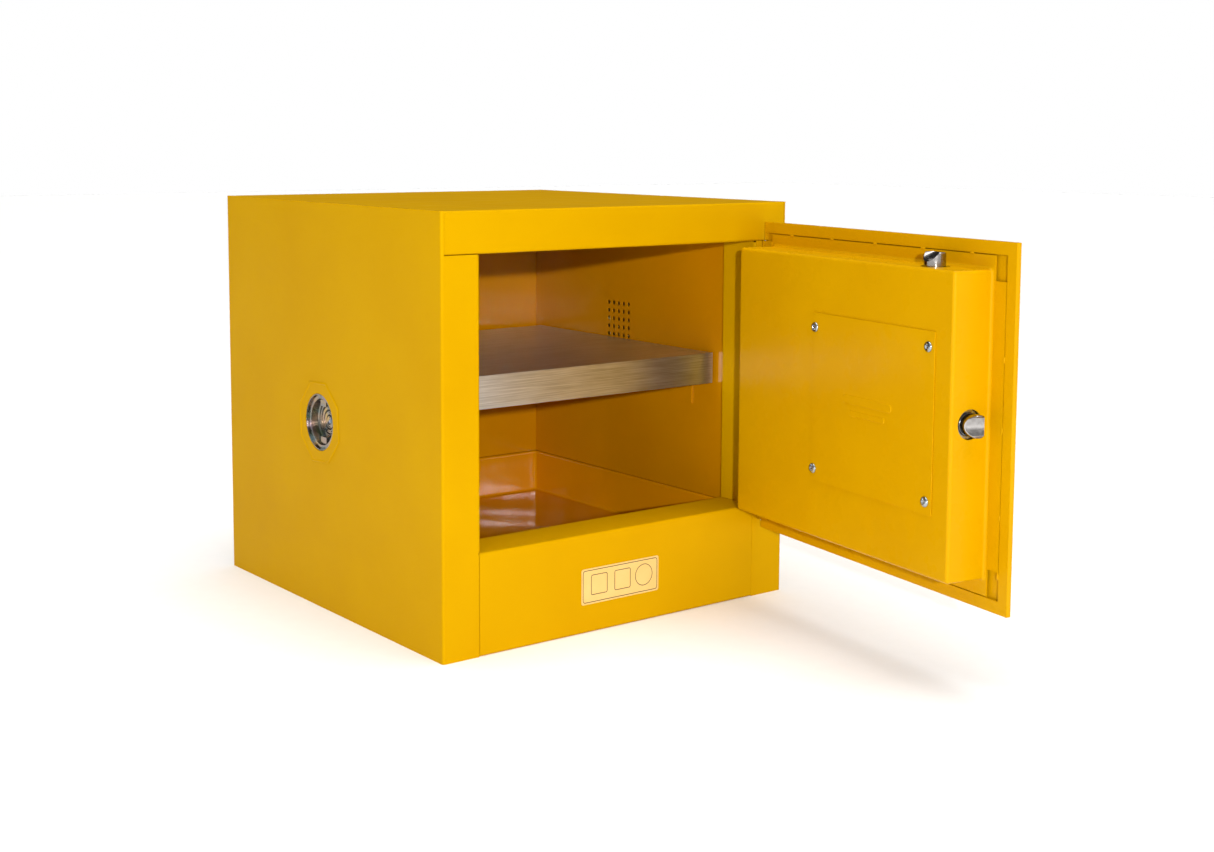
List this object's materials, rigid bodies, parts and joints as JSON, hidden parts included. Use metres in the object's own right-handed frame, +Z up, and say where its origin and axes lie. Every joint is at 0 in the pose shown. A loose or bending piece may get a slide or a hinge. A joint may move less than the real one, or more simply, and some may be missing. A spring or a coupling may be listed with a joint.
{
  "type": "flammable storage cabinet",
  "caption": "Bench-top double-wall steel safety cabinet with a hinged overlay door, paddle latch with sprung bolts, raised-sill sump, removable shelf and side vents with screw-in bungs.",
  "frame": {"origin": "centre of the cabinet footprint, on the underside it stands on", "axes": "+Z up, -Y out of the door opening, +X towards the hinge side; the door rests 81 degrees open"},
  "size_m": [0.4507, 0.8496, 0.432],
  "materials": {
    "yellow_paint": "semi-gloss powder coat",
    "yellow_inside": "semi-gloss powder coat",
    "galvanised_steel": "galvanised, faint spangle",
    "zinc_plate": "bright zinc plate",
    "chrome": "polished",
    "latch_black": "satin black",
    "rubber": "matt",
    "brass": "woven or machined",
    "label": "satin film"
  },
  "bodies": {
    "cabinet": {"back_liner": "yellow_inside", "back_panel": "yellow_paint", "bottom_panel": "yellow_paint", "ceiling_liner": "yellow_inside", "front_label": "label", "ground_nut": "brass", "ground_stud": "brass", "hinge_leaf_cabinet": "yellow_paint", "hinge_pin": "zinc_plate", "kick_panel": "yellow_paint", "left_liner": "yellow_inside", "left_side_panel": "yellow_paint", "left_vent_duct": "zinc_plate", "left_vent_flange": "zinc_plate", "left_vent_screen": "brass", "right_liner": "yellow_inside", "right_side_panel": "yellow_paint", "right_vent_duct": "zinc_plate", "right_vent_flange": "zinc_plate", "right_vent_screen": "brass", "shelf_bracket_front_left": "yellow_inside", "shelf_bracket_front_right": "yellow_inside", "shelf_bracket_rear_left": "yellow_inside", "shelf_bracket_rear_right": "yellow_inside", "sump_pan": "yellow_inside", "top_panel": "yellow_paint"},
    "door": {"hinge_leaf_door": "yellow_paint", "door_skin": "yellow_paint", "door_pan": "yellow_paint", "cover_plate": "yellow_paint", "cover_screw_1": "zinc_plate", "cover_screw_2": "zinc_plate", "cover_screw_3": "zinc_plate", "cover_screw_4": "zinc_plate", "latch_dish": "latch_black", "paddle_pin": "zinc_plate", "crank_post": "zinc_plate", "crank_spring": "zinc_plate", "side_guide": "zinc_plate", "top_guide": "zinc_plate"},
    "paddle": {"latch_paddle": "latch_black"},
    "crank_arm": {"crank": "zinc_plate"},
    "side_bolt_set": {"side_bolt": "chrome", "side_link": "zinc_plate"},
    "top_bolt_set": {"top_bolt": "chrome", "top_link": "zinc_plate"},
    "lock": {"lock_cylinder": "chrome", "lock_cam": "zinc_plate"},
    "left_gasket": {"left_vent_gasket": "rubber"},
    "left_plug": {"left_vent_plug": "zinc_plate"},
    "right_gasket": {"right_vent_gasket": "rubber"},
    "right_plug": {"right_vent_plug": "zinc_plate"},
    "shelf_tray": {"shelf": "galvanised_steel"}
  },
  "joints": [
    {"name": "door_hinge", "type": "hinge", "parent": "cabinet", "child": "door", "pos_m": [0.18515, -0.2351, 0.2385], "axis": [0, 0, 1], "range_deg": [-81, 84]},
    {"name": "paddle_hinge", "type": "hinge", "parent": "door", "child": "paddle", "pos_m": [0.14425, -0.48761, 0.2813], "axis": [-0.1564, -0.9877, 0], "range_deg": [0, 35], "stiffness_Nm_per_rad": 0.8},
    {"name": "crank_hinge", "type": "hinge", "parent": "door", "child": "crank_arm", "pos_m": [0.12844, -0.48511, 0.2725], "axis": [0.9877, -0.1564, 0], "range_deg": [0, 29.4]},
    {"name": "side_bolt_slide", "type": "slide", "parent": "door", "child": "side_bolt_set", "axis": [0.1564, 0.9877, 0], "range_m": [0, 0.0122]},
    {"name": "top_bolt_slide", "type": "slide", "parent": "door", "child": "top_bolt_set", "axis": [0, 0, -1], "range_m": [0, 0.0122]},
    {"name": "lock_turn", "type": "hinge", "parent": "door", "child": "lock", "pos_m": [0.14067, -0.45262, 0.222], "axis": [-0.9877, 0.1564, 0], "range_deg": [0, 90]},
    {"name": "left_gasket_slide", "type": "slide", "parent": "cabinet", "child": "left_gasket", "axis": [-1, 0, 0], "range_m": [0, 0.00884]},
    {"name": "left_plug_turn", "type": "hinge", "parent": "left_gasket", "child": "left_plug", "pos_m": [-0.2137, 0.0128, 0.2], "axis": [-1, 0, 0], "range_deg": [0, 1440]},
    {"name": "right_gasket_slide", "type": "slide", "parent": "cabinet", "child": "right_gasket", "axis": [1, 0, 0], "range_m": [0, 0.00884]},
    {"name": "right_plug_turn", "type": "hinge", "parent": "right_gasket", "child": "right_plug", "pos_m": [0.2137, 0.0128, 0.284], "axis": [1, 0, 0], "range_deg": [0, 1440]},
    {"name": "shelf_lift", "type": "slide", "parent": "cabinet", "child": "shelf_tray", "axis": [0, 0, 1], "range_m": [0, 0.09]}
  ],
  "couplings": [
    {"joint": "crank_hinge", "follows": "paddle_hinge", "ratio": 0.84},
    {"joint": "side_bolt_slide", "follows": "paddle_hinge", "m_per_rad": 0.01997},
    {"joint": "top_bolt_slide", "follows": "paddle_hinge", "m_per_rad": 0.01997},
    {"joint": "left_gasket_slide", "follows": "left_plug_turn", "m_per_rad": 0.0003517},
    {"joint": "right_gasket_slide", "follows": "right_plug_turn", "m_per_rad": 0.0003517}
  ]
}
